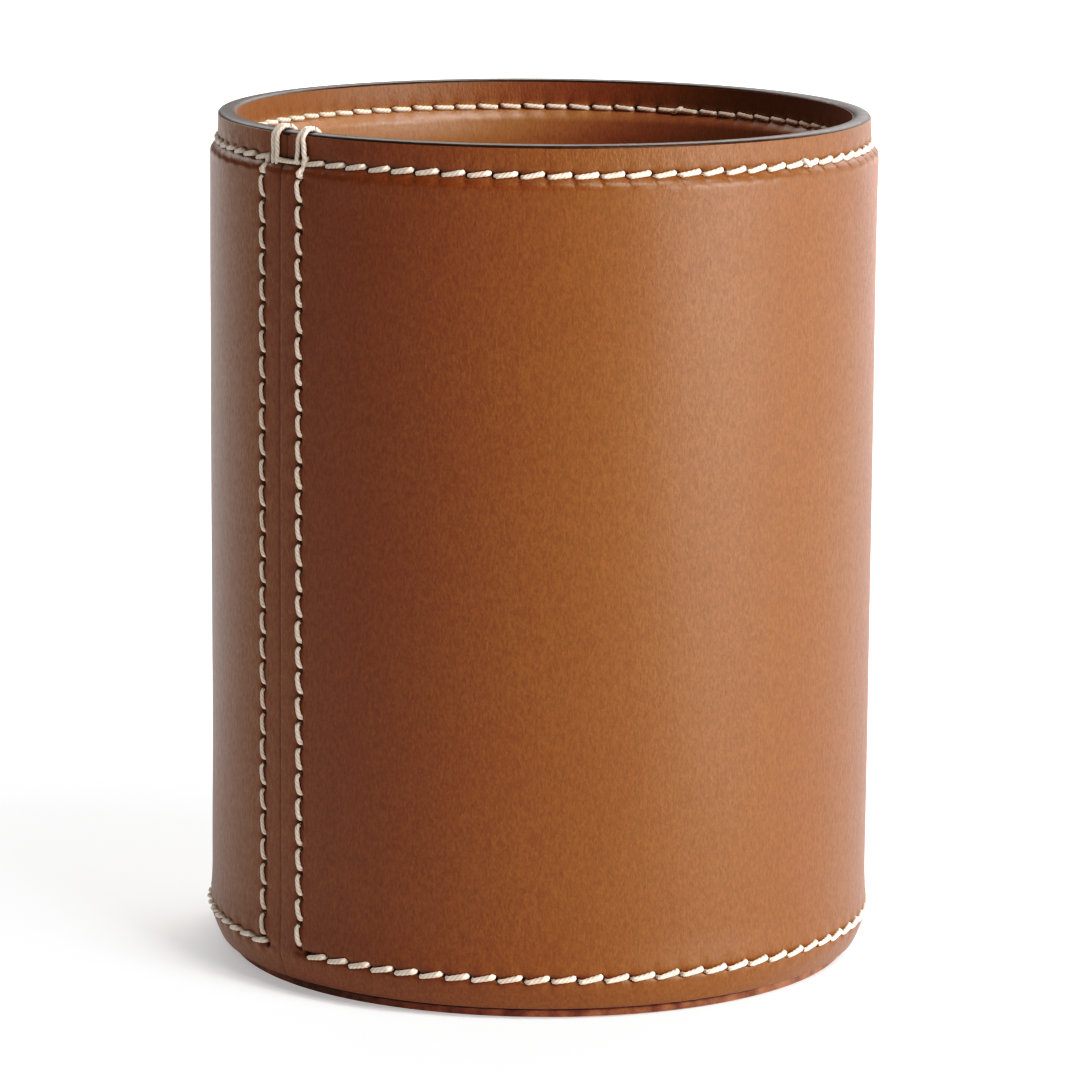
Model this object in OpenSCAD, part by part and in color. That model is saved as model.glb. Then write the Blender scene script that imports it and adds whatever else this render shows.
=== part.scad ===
// Pen holder cup: a saddle-stitched leather cup with a stiff core between its wrap and its lining.
// Origin at the centre of the underside, +Z up, front towards -Y. Millimetres.

/* [Cup] */
// Outside diameter of the body
cup_d = 88; // [76:1:100]
// Height to the top of the rim edge
cup_h = 112; // [95:1:130]
// Direction of the upright seam, counter-clockwise from +X
seam_at = 220.5; // [180:0.5:360]

/* [Leather] */
// Thickness of the outer wrap
wrap_t = 1.3; // [1.1:0.05:1.5]
// Thickness of the lining on the wall and on the floor
lining_t = 1.1; // [0.9:0.05:1.3]
// Thickness of the hidden backing leather: the base pan and the seam strip
backing_t = 1.15; // [1:0.05:1.3]
// Thickness of the sole
sole_t = 1.4; // [1:0.1:2]

/* [Rim] */
// How far the rim draws in from the body, where the two leathers are sewn together
rim_inset = 1.05; // [0.9:0.01:1.3]
// Height of the sewn band at the rim
rim_band = 4.2; // [4.2:0.1:5.5]
// Height of the shoulder below that band
shoulder_h = 1.4; // [1.3:0.1:3]
// Thickness of the edge paint at its crown
paint_t = 0.65; // [0.4:0.05:0.8]

/* [Base] */
// Height of the base pan's turned-up edge, above the sole
pan_h = 10.2; // [9:0.1:12]
// Thickness of the stiffening board in the base
board_t = 6.15; // [5:0.05:7]
// How far the wrap draws in at its lower edge
base_tuck = 1.3; // [0.6:0.1:1.4]
// How far the wrap flares at the base stitching
base_flare = 0.2; // [0:0.05:0.3]
// How far the sole's edge lies inside the wrap's inner face
sole_inset = 1.1; // [0.5:0.1:2]

/* [Stitching] */
// Thickness of the waxed thread
thread_d = 0.8; // [0.6:0.05:0.9]
// Number of stitches in the rim row and in the base row
round_stitches = 78; // [70:1:84]
// Number of whole stitches in each upright row
seam_stitches = 30; // [26:1:34]
// Distance of the rim row below the top of the rim
rim_row_drop = 3.8; // [3.6:0.1:4]
// Height of the base row above the sole's underside
base_row_z = 5.6; // [5:0.1:6]
// Distance of each upright row from the butt joint, along the surface
seam_row_offset = 3.76; // [3:0.02:4.5]
// Distance of the first upright hole below the rim row
seam_top_gap = 1.8; // [1.6:0.1:2.4]
// Distance of the last upright hole above the base row
seam_foot_gap = 0.7; // [0.5:0.1:1.5]

/* [Hidden] */

$fn = 128;
round_fn = 24;              // facets of threads and stitch holes
curve_steps = 6;            // straight steps in each curve of the wall's section
clearance = 0.05;           // gap between a thread and the leather that it lies on
stitch_end = 0.1;           // a thread on a face stops this far from the centre of its hole
lean_end = 1.1;             // the leaning top stitch stops this far from the rim row's hole
joint_gap = 0.2;            // width of the butt joints
thread_r = thread_d / 2;
thread_lift = thread_r + clearance;
hole_w = thread_d + 0.1;    // side of a square awl hole
peg_w = thread_d + 0.04;    // side of the two strands that are pressed into one hole
peg_reach = 0.9 * thread_r; // how far they stand past the axis of the thread on each face
loop_foot_w = peg_w + thread_d;

// The core is as thick as the backing leather and the thread behind it
core_t = backing_t + thread_d + clearance;

// Radii of the straight wall, from the outside inwards
body_r = cup_d / 2;
wrap_in_r = body_r - wrap_t;
core_in_r = wrap_in_r - core_t;
lining_in_r = core_in_r - lining_t;

// Radii of the sewn rim band
rim_r = body_r - rim_inset;
rim_mid_r = rim_r - wrap_t;
rim_in_r = rim_mid_r - lining_t;

// Levels
edge_z = cup_h - paint_t;               // cut edges of the two leathers
rim_row_z = cup_h - rim_row_drop;
band_z = cup_h - rim_band;
shoulder_z = band_z - shoulder_h;
pan_top_z = sole_t + pan_h;
board_z = sole_t + backing_t;
floor_z = board_z + board_t;            // underside of the floor lining
flare_top_z = pan_top_z - 0.6;

// Axis radii of the threads on each face
rim_out_axis = rim_r + thread_lift;
rim_in_axis = rim_in_r - thread_lift;
base_out_axis = body_r + base_flare + thread_lift;
base_in_axis = body_r + base_flare - wrap_t - backing_t - thread_lift;
seam_out_axis = body_r + thread_lift;
top_stitch_axis = seam_out_axis + 2 * clearance;    // starts higher, to clear the shoulder
hidden_axis = core_in_r + thread_r + clearance / 2;

// Stitch rows. Angles are measured from the seam, counter-clockwise seen from above.
row_angle = seam_row_offset / body_r * 180 / PI;
rim_pitch = (360 - 2 * row_angle) / round_stitches;
base_right_angle = 6.75;
base_left_angle = 3.9;
base_pitch = (360 - base_right_angle - base_left_angle) / round_stitches;
seam_top_z = rim_row_z - seam_top_gap;
seam_pitch = (seam_top_z - base_row_z - seam_foot_gap) / seam_stitches;
rim_holes = [for (k = [0 : round_stitches]) row_angle + k * rim_pitch];
base_holes = [for (k = [0 : round_stitches]) base_right_angle + k * base_pitch];
seam_holes = [for (k = [0 : seam_stitches]) seam_top_z - k * seam_pitch];

// Loops over the rim edge: their angles, the spread of their two strands and their bend
left_loop_angle = -2.4;
right_loop_angle = 4.3;
strand_spread = thread_r + 0.02;
loop_bend = 0.8;
loop_top_z = cup_h + thread_lift;

// Seam strip, which ends below the topmost upright holes, and the slot that the core leaves for it
strip_half_angle = 9.2;
slot_half_angle = 9.8;
strip_top_z = seam_top_z - 1;

// Outer radius of the wrap at height z: tucked in at the foot, flared at the base row,
// straight up the body and drawn in at the rim
function ease(t) = (1 - cos(180 * t)) / 2;
function foot_r(z) =
    body_r + base_flare - base_tuck * (1 - cos(90 * (base_row_z - z) / (base_row_z - sole_t)));
function flare_r(z) =
    body_r + base_flare * (1 - ease((z - base_row_z) / (flare_top_z - base_row_z)));
function steps(from, to) =
    [for (k = [0 : curve_steps]) from + (to - from) * k / curve_steps];
function foot_curve(inset) = [for (z = steps(sole_t, base_row_z)) [foot_r(z) - inset, z]];
function flare_curve(inset) =
    [for (z = steps(base_row_z, flare_top_z)) if (z > base_row_z) [flare_r(z) - inset, z]];
function shoulder_curve(from_r, to_r) =
    [for (t = steps(0, 1)) [from_r + (to_r - from_r) * ease(t), shoulder_z + shoulder_h * t]];
function reversed(list) = [for (k = [len(list) - 1 : -1 : 0]) list[k]];

// A sheet rolled up around the axis, with its butt joint at the seam
module rolled_sheet(gap, outline) {
    half_gap = gap / 2 / wrap_in_r * 180 / PI;
    rotate([0, 0, seam_at + half_gap])
        rotate_extrude(angle = 360 - 2 * half_gap) polygon(outline);
}

// Places its children at an angle from the seam and at a height
module on_wall(angle, z) {
    rotate([0, 0, seam_at + angle]) translate([0, 0, z]) children();
}

// A square bar along the radius, between two radii; wide sets its width around the cup
module radial_bar(from_r, to_r, side, wide) {
    translate([from_r, -wide / 2, -side / 2]) cube([to_r - from_r, wide, side]);
}

// Awl holes of one row around the cup
module round_row_holes(angles, z, from_r, to_r) {
    for (angle = angles) on_wall(angle, z) radial_bar(from_r, to_r, hole_w, hole_w);
}

// Awl holes of both upright rows, for the holes between two heights
module seam_row_holes(low_z, high_z, from_r, to_r) {
    for (side = [-1, 1], z = seam_holes)
        if (z > low_z && z < high_z) on_wall(side * row_angle, z) radial_bar(from_r, to_r, hole_w, hole_w);
}

// Wider holes at the feet of the two loops over the rim
module loop_holes(from_r, to_r) {
    for (angle = [left_loop_angle, right_loop_angle])
        on_wall(angle, rim_row_z) radial_bar(from_r, to_r, hole_w, loop_foot_w + 0.1);
}

// Thread on a face, around the cup: a straight piece between two neighbouring holes
module round_stitch(angle, pitch, z, axis_r) {
    on_wall(angle + pitch / 2, z) translate([axis_r * cos(pitch / 2), 0, 0]) rotate([90, 0, 0])
        cylinder(r = thread_r, h = 2 * (axis_r * sin(pitch / 2) - stitch_end), center = true, $fn = round_fn);
}

// Thread through one hole, between the threads on the two faces
module peg(in_axis, out_axis, wide = peg_w) {
    radial_bar(in_axis - peg_reach, out_axis + peg_reach, peg_w, wide);
}

// One row around the cup: thread through every hole and on both faces between holes
module round_row(angles, pitch, z, in_axis, out_axis) {
    for (angle = angles) on_wall(angle, z) peg(in_axis, out_axis);
    for (k = [0 : len(angles) - 2], axis_r = [in_axis, out_axis])
        round_stitch(angles[k], pitch, z, axis_r);
}

// One upright row: thread through every hole, and on both faces between holes.
// The topmost stitch has both its strands on the outside and leans in to the rim row.
module seam_row(angle) {
    stitch_h = seam_pitch - 2 * stitch_end;
    on_wall(angle, seam_top_z) peg(rim_mid_r + thread_r, top_stitch_axis);
    for (k = [1 : seam_stitches]) on_wall(angle, seam_holes[k]) {
        peg(hidden_axis, seam_out_axis);
        for (axis_r = k > 1 ? [hidden_axis, seam_out_axis] : [seam_out_axis])
            translate([axis_r, 0, stitch_end]) cylinder(r = thread_r, h = stitch_h, $fn = round_fn);
    }
    lean = top_stitch_axis - rim_out_axis;
    top_h = norm([lean, seam_top_gap]) - stitch_end - lean_end;
    on_wall(angle, seam_top_z) translate([top_stitch_axis, 0, 0])
        rotate([0, -atan2(lean, seam_top_gap), 0]) translate([0, 0, stitch_end])
            cylinder(r = thread_r, h = top_h, $fn = round_fn);
}

// A quarter bend of thread in the radial plane, from facing out to facing up; turn -90 mirrors it
module bend(turn) {
    rotate([90, turn, 0]) rotate_extrude(angle = 90)
        translate([loop_bend, 0]) circle(r = thread_r, $fn = round_fn);
}

// One strand that goes over the rim edge, from the rim row outside to the rim row inside
module rim_strand() {
    rise = loop_top_z - loop_bend - rim_row_z;
    for (axis_r = [rim_in_axis, rim_out_axis])
        translate([axis_r, 0, 0]) cylinder(r = thread_r, h = rise, $fn = round_fn);
    translate([rim_in_axis + loop_bend, 0, rise + loop_bend]) rotate([0, 90, 0])
        cylinder(r = thread_r, h = rim_out_axis - rim_in_axis - 2 * loop_bend, $fn = round_fn);
    translate([rim_out_axis - loop_bend, 0, rise]) bend(0);
    translate([rim_in_axis + loop_bend, 0, rise]) bend(-90);
}

// Two strands side by side over the rim edge, and their foot through the leathers
module rim_loop(angle) {
    for (side = [-1, 1]) on_wall(angle, rim_row_z) translate([0, side * strand_spread, 0]) rim_strand();
    on_wall(angle, rim_row_z) peg(rim_in_axis, rim_out_axis, loop_foot_w);
}

// Outer leather, sewn to the base pan, the seam strip and the lining
module outer_wrap() {
    outer = concat(foot_curve(0), flare_curve(0), shoulder_curve(body_r, rim_r), [[rim_r, edge_z]]);
    inner = [for (p = outer) [p[0] - wrap_t, p[1]]];
    color([0.48, 0.24, 0.13]) difference() {
        rolled_sheet(joint_gap, concat(outer, reversed(inner)));
        round_row_holes(rim_holes, rim_row_z, rim_mid_r - 1, rim_r + 1);
        loop_holes(rim_mid_r - 1, rim_r + 1);
        round_row_holes(base_holes, base_row_z, wrap_in_r - 1, body_r + 2);
        seam_row_holes(0, cup_h, wrap_in_r - 2, body_r + 2);
    }
}

// Inner leather, from the board in the base up to the rim
module lining_wrap() {
    outer = concat([[core_in_r, floor_z]], shoulder_curve(core_in_r, rim_mid_r), [[rim_mid_r, edge_z]]);
    inner = [for (p = outer) [p[0] - lining_t, p[1]]];
    color([0.52, 0.28, 0.15]) difference() {
        rolled_sheet(joint_gap, concat(outer, reversed(inner)));
        round_row_holes(rim_holes, rim_row_z, rim_in_r - 1, rim_mid_r + 1);
        loop_holes(rim_in_r - 1, rim_mid_r + 1);
    }
}

// Stiff tube between the leathers, slotted at the seam, its top edge thinned under the shoulder
module core_tube() {
    top_z = shoulder_z + shoulder_h / 2;
    top_out_r = (wrap_in_r + rim_mid_r) / 2 - clearance;
    top_in_r = (core_in_r + rim_mid_r) / 2 + clearance;
    outline = [
        [core_in_r, pan_top_z], [wrap_in_r, pan_top_z], [wrap_in_r, shoulder_z],
        [top_out_r, top_z], [top_in_r, top_z], [core_in_r, shoulder_z]
    ];
    color([0.62, 0.55, 0.45]) rotate([0, 0, seam_at + slot_half_angle])
        rotate_extrude(angle = 360 - 2 * slot_half_angle) polygon(outline);
}

// Leather strip behind the butt joint, which both upright rows are sewn through
module seam_strip() {
    color([0.60, 0.38, 0.24]) difference() {
        rotate([0, 0, seam_at - strip_half_angle]) rotate_extrude(angle = 2 * strip_half_angle)
            translate([wrap_in_r - backing_t, pan_top_z]) square([backing_t, strip_top_z - pan_top_z]);
        seam_row_holes(pan_top_z, strip_top_z, wrap_in_r - backing_t - 1, body_r);
    }
}

// Leather pan whose turned-up edge is sewn to the wrap
module base_pan() {
    outer = concat(foot_curve(wrap_t), flare_curve(wrap_t), [[wrap_in_r, pan_top_z]]);
    inner = [for (p = outer) if (p[1] > board_z) [p[0] - backing_t, p[1]]];
    corner = [foot_r(board_z) - wrap_t - backing_t, board_z];
    color([0.60, 0.38, 0.24]) difference() {
        rotate_extrude() polygon(concat([[0, sole_t]], outer, reversed(inner), [corner, [0, board_z]]));
        round_row_holes(base_holes, base_row_z, wrap_in_r - backing_t - 1, body_r + 1);
        seam_row_holes(0, pan_top_z, wrap_in_r - backing_t - 1, body_r + 1);
    }
}

// Stiffening board that fills the pan and carries the floor and the lining
module base_board() {
    color([0.62, 0.55, 0.45]) translate([0, 0, board_z])
        cylinder(r = core_in_r - clearance, h = board_t);
}

// Leather disc on the floor of the cup
module floor_lining() {
    color([0.52, 0.28, 0.15]) translate([0, 0, floor_z])
        cylinder(r = lining_in_r - clearance, h = lining_t);
}

// Leather disc under the cup, with its raw edge showing
module base_sole() {
    color([0.45, 0.25, 0.18]) cylinder(r = wrap_in_r - sole_inset, h = sole_t);
}

// Bead of dark edge paint over both cut edges at the rim
module rim_edge_paint() {
    half_w = (rim_r - rim_in_r) / 2;
    crown = [for (k = [0 : 2 * curve_steps])
        [half_w * cos(90 * k / curve_steps), paint_t * sin(90 * k / curve_steps)]];
    color([0.16, 0.10, 0.06]) translate([0, 0, edge_z])
        rotate_extrude() translate([rim_in_r + half_w, 0]) polygon(crown);
}

// Row that sews the wrap to the lining, one longer stitch across the seam, and the two loops
// over the rim that lock the thread
module rim_stitching() {
    color([0.87, 0.82, 0.70]) {
        round_row(rim_holes, rim_pitch, rim_row_z, rim_in_axis, rim_out_axis);
        for (axis_r = [rim_in_axis, rim_out_axis])
            round_stitch(left_loop_angle, right_loop_angle - left_loop_angle, rim_row_z, axis_r);
        round_stitch(-row_angle, left_loop_angle + row_angle, rim_row_z, rim_in_axis);
        rim_loop(left_loop_angle);
        rim_loop(right_loop_angle);
    }
}

// Row that sews the wrap to the pan; it leaves the seam free
module base_stitching() {
    color([0.87, 0.82, 0.70])
        round_row(base_holes, base_pitch, base_row_z, base_in_axis, base_out_axis);
}

// Upright row on the left of the butt joint, seen from outside
module left_seam_stitching() {
    color([0.87, 0.82, 0.70]) seam_row(-row_angle);
}

// Upright row on the right of the butt joint, seen from outside
module right_seam_stitching() {
    color([0.87, 0.82, 0.70]) seam_row(row_angle);
}

outer_wrap();
lining_wrap();
core_tube();
seam_strip();
base_pan();
base_board();
floor_lining();
base_sole();
rim_edge_paint();
rim_stitching();
base_stitching();
left_seam_stitching();
right_seam_stitching();
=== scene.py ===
"""Pen holder cup: the looks of a saddle-stitched leather cup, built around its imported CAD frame.

Lengths in the frame are metres; the shaping functions below work in millimetres. Angles around the
cup are measured from its upright seam, counter-clockwise seen from above, so that they grow towards
the right when the cup is seen from outside.
"""
import math

import bpy
import numpy as np
from mathutils import Matrix, Vector


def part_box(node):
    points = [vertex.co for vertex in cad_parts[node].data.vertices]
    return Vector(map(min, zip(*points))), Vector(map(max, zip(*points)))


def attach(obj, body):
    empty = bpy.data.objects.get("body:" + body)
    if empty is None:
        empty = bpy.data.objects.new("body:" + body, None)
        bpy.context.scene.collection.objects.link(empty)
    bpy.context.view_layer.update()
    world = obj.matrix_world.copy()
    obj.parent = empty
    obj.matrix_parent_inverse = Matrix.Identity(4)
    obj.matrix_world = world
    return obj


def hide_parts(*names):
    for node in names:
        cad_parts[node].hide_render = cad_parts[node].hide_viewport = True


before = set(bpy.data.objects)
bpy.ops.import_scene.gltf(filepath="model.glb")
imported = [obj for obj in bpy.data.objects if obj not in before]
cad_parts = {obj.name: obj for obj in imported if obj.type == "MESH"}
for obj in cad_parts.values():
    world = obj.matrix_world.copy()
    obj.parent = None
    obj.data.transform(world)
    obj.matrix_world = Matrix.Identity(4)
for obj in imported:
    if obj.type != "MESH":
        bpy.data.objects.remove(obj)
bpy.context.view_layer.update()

MM = 0.001
rng = np.random.default_rng(11)


# ---------------------------------------------------------------- sizes taken from the CAD nodes

def low(node):
    """Height of a node's underside in mm."""
    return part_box(node)[0].z / MM


def high(node):
    """Height of a node's top in mm."""
    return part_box(node)[1].z / MM


def reach(node):
    """How far a node reaches along +X in mm."""
    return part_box(node)[1].x / MM


SOLE_T = high("base_sole")
SOLE_R = reach("base_sole")
RIM_TOP = high("rim_edge_paint")
EDGE_Z = low("rim_edge_paint")
RIM_R = reach("rim_edge_paint")
FOOT_R = reach("outer_wrap")
BASE_ROW_Z = (low("base_stitching") + high("base_stitching")) / 2
PEG_HALF = (high("base_stitching") - low("base_stitching")) / 2
RIM_ROW_Z = low("rim_stitching") + PEG_HALF
FLOOR_Z = low("floor_lining")
FLOOR_TOP = high("floor_lining")

# Sizes that the boxes don't show, as in the CAD source, in mm
THREAD_R = 0.4
WRAP_T = 1.3
LINING_T = 1.1
CORE_T = 2.0
FLARE = 0.2
TUCK = 1.3
FLARE_TOP_Z = 11.0
RIM_INSET = 1.05
SHOULDER_H = 2.3
SHOULDER_Z = RIM_ROW_Z - 1.9
BODY_R = FOOT_R - FLARE
LINING_R = BODY_R - WRAP_T - CORE_T - LINING_T
RIM_IN_R = RIM_R - WRAP_T - LINING_T

# Stitch rows: where each starts and ends, its stitches and its pitch. The rows around the cup are
# given in degrees from the seam, the upright rows in mm, and SEAM is the seam's own direction.
SEAM = math.radians(220.5)
SEAM_ROW_OFFSET = 3.76
ROW = math.degrees(SEAM_ROW_OFFSET / BODY_R)
ROUND_STITCHES = 78
RIM_PITCH = (360 - 2 * ROW) / ROUND_STITCHES
BASE_START = 6.75
BASE_END = 3.9
BASE_PITCH = (360 - BASE_START - BASE_END) / ROUND_STITCHES
SEAM_TOP_Z = RIM_ROW_Z - 1.8
SEAM_FOOT_GAP = 0.7
SEAM_STITCHES = 30
SEAM_PITCH = (SEAM_TOP_Z - BASE_ROW_Z - SEAM_FOOT_GAP) / SEAM_STITCHES
LEFT_LOOP = -2.4
RIGHT_LOOP = 4.3

# Relief that the sewing leaves in the leather, in mm, with slants in degrees
STITCH_MM = 3.45
SLIT_DEPTH = 0.55
DIMPLE_DEPTH = 0.22
GROOVE_DEPTH = 0.1
PUCKER_HEIGHT = 0.05
FOLD_HEIGHT = 0.07
ROUND_SLANT = -42
SEAM_SLANT = 55
FOLD_SLANT = -58
# How far the painted shade and bruising reach round a hole, in mm
HOLE_SHADE_REACH = 0.36
LEATHER_TOP = EDGE_Z + 0.28     # the leathers end just inside the edge coat


# ---------------------------------------------------------------- small maths helpers

def bell(x, width):
    """1 at zero, falling smoothly to nearly 0 at twice the width."""
    return np.exp(-(x / width) ** 2)


def ease(t):
    """Smooth step from 0 to 1."""
    t = np.clip(t, 0, 1)
    return t * t * (3 - 2 * t)


def cosine_ease(t):
    """Smooth step from 0 to 1 that follows half a cosine wave."""
    return (1 - np.cos(np.pi * np.clip(t, 0, 1))) / 2


def place(angle, r, z):
    """Points in metres from an angle from the seam in degrees, a radius and a height in mm."""
    a = SEAM + np.radians(angle)
    return np.stack([r * np.cos(a), r * np.sin(a), z], -1) * MM


def ripple(angle, z, waves, seed):
    """A smooth random relief between about -1 and 1 that closes on itself around the cup."""
    random = np.random.default_rng(seed)
    total = 0.0
    for _ in range(waves):
        around = random.integers(1, 9)
        up = random.uniform(-0.09, 0.09)
        phase = random.uniform(0, 2 * np.pi)
        total = total + np.sin(np.radians(angle) * around + up * z + phase)
    return total / math.sqrt(waves)


# ---------------------------------------------------------------- relief of the sewn leather

def turned(along, across, slant):
    """Distances along and off a line that slants by some degrees."""
    c, s = math.cos(math.radians(slant)), math.sin(math.radians(slant))
    return along * c + across * s, across * c - along * s


def sewn_relief(along, across, slant, depth=1.0):
    """Relief round a row of holes: along and across are distances in mm from the nearest hole,
    slant is the direction of its awl slit in degrees."""
    on_slit, off_slit = turned(along, across, slant)
    slit = -SLIT_DEPTH * bell(off_slit, 0.2) * np.exp(-(on_slit / 0.6) ** 4)
    dimple = -DIMPLE_DEPTH * bell(np.hypot(along * 0.9, across * 1.3), 0.8)
    groove = -GROOVE_DEPTH * bell(across, 0.45)
    wave = np.cos(2 * np.pi * along / STITCH_MM)
    pucker = -PUCKER_HEIGHT * wave * bell(np.abs(across) - 1.0, 0.7)
    return depth * (slit + dimple + groove + pucker)


def fold_relief(along, across):
    """Small fold that runs from a hole down and to the right."""
    on_fold, off_fold = turned(along, across, FOLD_SLANT)
    ridge = FOLD_HEIGHT * bell(off_fold, 0.2) - 0.05 * bell(off_fold + 0.36, 0.24)
    return ridge * bell(on_fold - 0.8, 0.42)


def from_hole(angle, start, pitch, radius):
    """Distance in mm around the cup from the nearest hole of a row, and how far it is inside the
    row: 1 within it, falling to 0 past its ends."""
    count = (angle - start) / pitch
    nearest = np.clip(np.round(count), 0, ROUND_STITCHES)
    along = (count - nearest) * math.radians(pitch) * radius
    return along, bell(np.maximum(np.abs(along) - STITCH_MM / 2, 0), 0.5)


def round_row_relief(angle, z, start, pitch, row_z, radius, depth=1.0, fold=0.0):
    """Relief of a row of stitches around the cup."""
    along, inside = from_hole(angle, start, pitch, radius)
    across = z - row_z
    sewn = sewn_relief(along, across, ROUND_SLANT, depth)
    return inside * (sewn + fold * fold_relief(along, across))


def round_row_bruise_and_shade(angle, z, start, pitch, row_z, radius):
    """How dark a row makes the leather, by bruising and painted shade: 1 in a hole, less along the
    thread.
    """
    along, inside = from_hole(angle, start, pitch, radius)
    across = z - row_z
    return inside * np.maximum(bell(np.hypot(along, across), HOLE_SHADE_REACH), 0.2 * bell(across, 0.5))


def from_seam(angle, radius):
    """Distance in mm around the cup from the butt joint, negative on its left."""
    return ((angle + 180) % 360 - 180) * math.radians(radius)


def from_upright_hole(angle, z, side):
    """Distances along and across an upright row from its nearest hole, and how far it is inside
    the row. side is -1 for the left row and 1 for the right one."""
    across = ((angle + 180) % 360 - 180 - side * ROW) * math.radians(BODY_R)
    count = (SEAM_TOP_Z - z) / SEAM_PITCH
    along = (count - np.clip(np.round(count), 0, SEAM_STITCHES)) * SEAM_PITCH
    return along, across, bell(np.maximum(np.abs(along) - SEAM_PITCH / 2, 0), 0.4)


def seam_relief(angle, z):
    """Relief of the two upright rows and of the butt joint between them."""
    total = 0.0
    for side in (-1, 1):
        along, across, inside = from_upright_hole(angle, z, side)
        total = total + inside * sewn_relief(along, across, SEAM_SLANT, 0.65)
    joint = np.abs(from_seam(angle, BODY_R))
    valley = -0.14 * np.exp(-(joint / 0.25)) - 0.05 * bell(joint, 1.4)
    return total + valley * (0.5 + 0.5 * ease((z - 102) / 6))


def seam_bruise_and_shade(angle, z):
    """How dark the upright rows make the leather, by bruising and painted shade in their holes and
    along their thread, with the dark line of the butt joint.
    """
    bruise_and_shade = 0.3 * bell(from_seam(angle, BODY_R), 0.2)
    for side in (-1, 1):
        along, across, inside = from_upright_hole(angle, z, side)
        hole = 0.7 * bell(np.hypot(along, across), HOLE_SHADE_REACH)
        line = 0.2 * bell(across, 0.45) * inside
        bruise_and_shade = np.maximum(bruise_and_shade, np.maximum(hole, line))
    return bruise_and_shade


def wrap_r(z):
    """Outer radius of the wrap at a height: tucked in at the foot, flared at the base row,
    straight up the body and drawn in at the rim."""
    foot = FOOT_R - TUCK * (1 - np.cos(np.pi / 2 * (BASE_ROW_Z - z) / (BASE_ROW_Z - SOLE_T)))
    flare = FOOT_R - FLARE * cosine_ease((z - BASE_ROW_Z) / (FLARE_TOP_Z - BASE_ROW_Z))
    bend = np.clip((z - SHOULDER_Z) / SHOULDER_H, 0, 1) ** 1.25
    return np.where(z < BASE_ROW_Z, foot, flare) - RIM_INSET * cosine_ease(bend)


def rounded_edge(z, end, radius):
    """How far a cut edge is rounded off at a height, near its end."""
    t = np.clip(1 - np.abs(z - end) / radius, 0, 1)
    return radius * (1 - np.sqrt(1 - t * t))


def wrap_face_r(angle, z):
    """Radius of the wrap's outer face, with its sewn relief and its slight unevenness."""
    rim = round_row_relief(angle, z, ROW, RIM_PITCH, RIM_ROW_Z, RIM_R, fold=1.15)
    base = round_row_relief(angle, z, BASE_START, BASE_PITCH, BASE_ROW_Z, FOOT_R, depth=1.1)
    body = ease((z - 12) / 20) * ease((104 - z) / 12)
    swell = 0.07 * ripple(angle, z, 9, 3) * body
    rim_wave = 0.05 * ripple(angle * 3, z, 6, 5) * ease((z - 103) / 3) * ease((EDGE_Z - z) / 1.5)
    edge = rounded_edge(z, SOLE_T, 0.3) + rounded_edge(z, LEATHER_TOP, 0.1)
    return wrap_r(z) + rim + base + seam_relief(angle, z) + swell + rim_wave - edge


def wrap_bruise_and_shade(angle, z):
    """How dark the wrap's outer face is made: bruising and painted shade at the stitches, and a
    painted shade line along the foot, where the wrap meets the sole.
    """
    rim = round_row_bruise_and_shade(angle, z, ROW, RIM_PITCH, RIM_ROW_Z, RIM_R)
    base = round_row_bruise_and_shade(angle, z, BASE_START, BASE_PITCH, BASE_ROW_Z, FOOT_R)
    # Painted shade: a dark line along the foot, where the wrap meets the sole
    foot = 0.45 * bell(z - SOLE_T, 0.25)
    return np.maximum(np.maximum(rim, base), np.maximum(seam_bruise_and_shade(angle, z), foot))


def lining_r(z):
    """Inner radius of the lining at a height: straight, then drawn out to the rim's leathers."""
    return LINING_R + (RIM_IN_R - LINING_R) * cosine_ease((z - SHOULDER_Z) / SHOULDER_H)


def lining_bruise_and_shade(angle, z):
    """How dark the lining is made: bruising and painted shade at the rim row, and the dark line of its
    butt joint.
    """
    rim = round_row_bruise_and_shade(angle, z, ROW, RIM_PITCH, RIM_ROW_Z, RIM_IN_R)
    return np.maximum(rim, 0.4 * bell(from_seam(angle, LINING_R), 0.25))


def lining_face_r(angle, z):
    """Radius of the lining's inner face; what sinks into it adds to the radius."""
    rim = -round_row_relief(angle, z, ROW, RIM_PITCH, RIM_ROW_Z, RIM_IN_R, depth=0.9)
    swell = 0.10 * ripple(angle, z, 8, 8) * ease((z - 20) / 30) * ease((RIM_ROW_Z - 1 - z) / 4)
    roll = -0.12 * bell(z - (SHOULDER_Z - 1.7), 1.6)
    joint = 0.25 * np.exp(-np.abs(from_seam(angle, LINING_R)) / 0.4)
    return lining_r(z) + rim + swell + roll + joint


# ---------------------------------------------------------------- mesh builders

def add_piece(name, points, faces, material, smooth_angle=40):
    """A mesh object from points in metres; edges sharper than smooth_angle degrees stay sharp."""
    mesh = bpy.data.meshes.new(name)
    mesh.from_pydata([tuple(p) for p in points], [], faces)
    mesh.validate()
    mesh.shade_smooth()
    mesh.set_sharp_from_angle(angle=math.radians(smooth_angle))
    mesh.materials.append(material)
    piece = bpy.data.objects.new(name, mesh)
    bpy.context.scene.collection.objects.link(piece)
    return piece


def write_layer(piece, name, values):
    """A value for each vertex, which the piece's material reads."""
    layer = piece.data.attributes.new(name, "FLOAT", "POINT")
    layer.data.foreach_set("value", values)


def spaced(start, end, step):
    """Numbers from start to end, about a step apart."""
    return np.linspace(start, end, max(2, int(round((end - start) / step)) + 1))


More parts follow.
